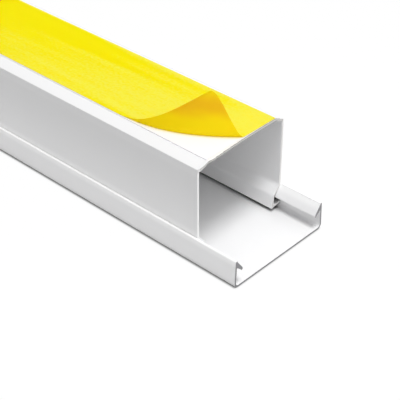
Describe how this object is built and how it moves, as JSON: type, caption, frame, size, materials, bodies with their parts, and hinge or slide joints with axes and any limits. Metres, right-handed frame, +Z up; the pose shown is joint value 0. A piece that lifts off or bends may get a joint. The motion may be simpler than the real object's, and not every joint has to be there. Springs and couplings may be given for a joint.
{
  "type": "cord cover raceway",
  "caption": "Straight plastic cord cover raceway: a U channel with an adhesive back under a peeling release liner, and a clip-on lid that slides along its feet.",
  "frame": {"origin": "on the floor, under the middle of the overall box", "axes": "+X along the stock towards the end where the lid is drawn out, +Z up from the lid to the adhesive back"},
  "size_m": [0.4166, 0.0426, 0.0508],
  "materials": {
    "white_pvc_channel": "extruded white, satin",
    "white_pvc_lid": "extruded white, satin",
    "adhesive_foam": "white adhesive foam, slight sheen",
    "yellow_liner": "silicone coated paper, yellow outside"
  },
  "bodies": {
    "channel_body": {"channel": "white_pvc_channel", "adhesive_tape": "adhesive_foam", "release_liner": "yellow_liner"},
    "lid_body": {"lid": "white_pvc_lid"}
  },
  "joints": [
    {"name": "lid_slide", "type": "slide", "parent": "channel_body", "child": "lid_body", "axis": [1, 0, 0], "range_m": [-0.0165, 0.1835]}
  ]
}
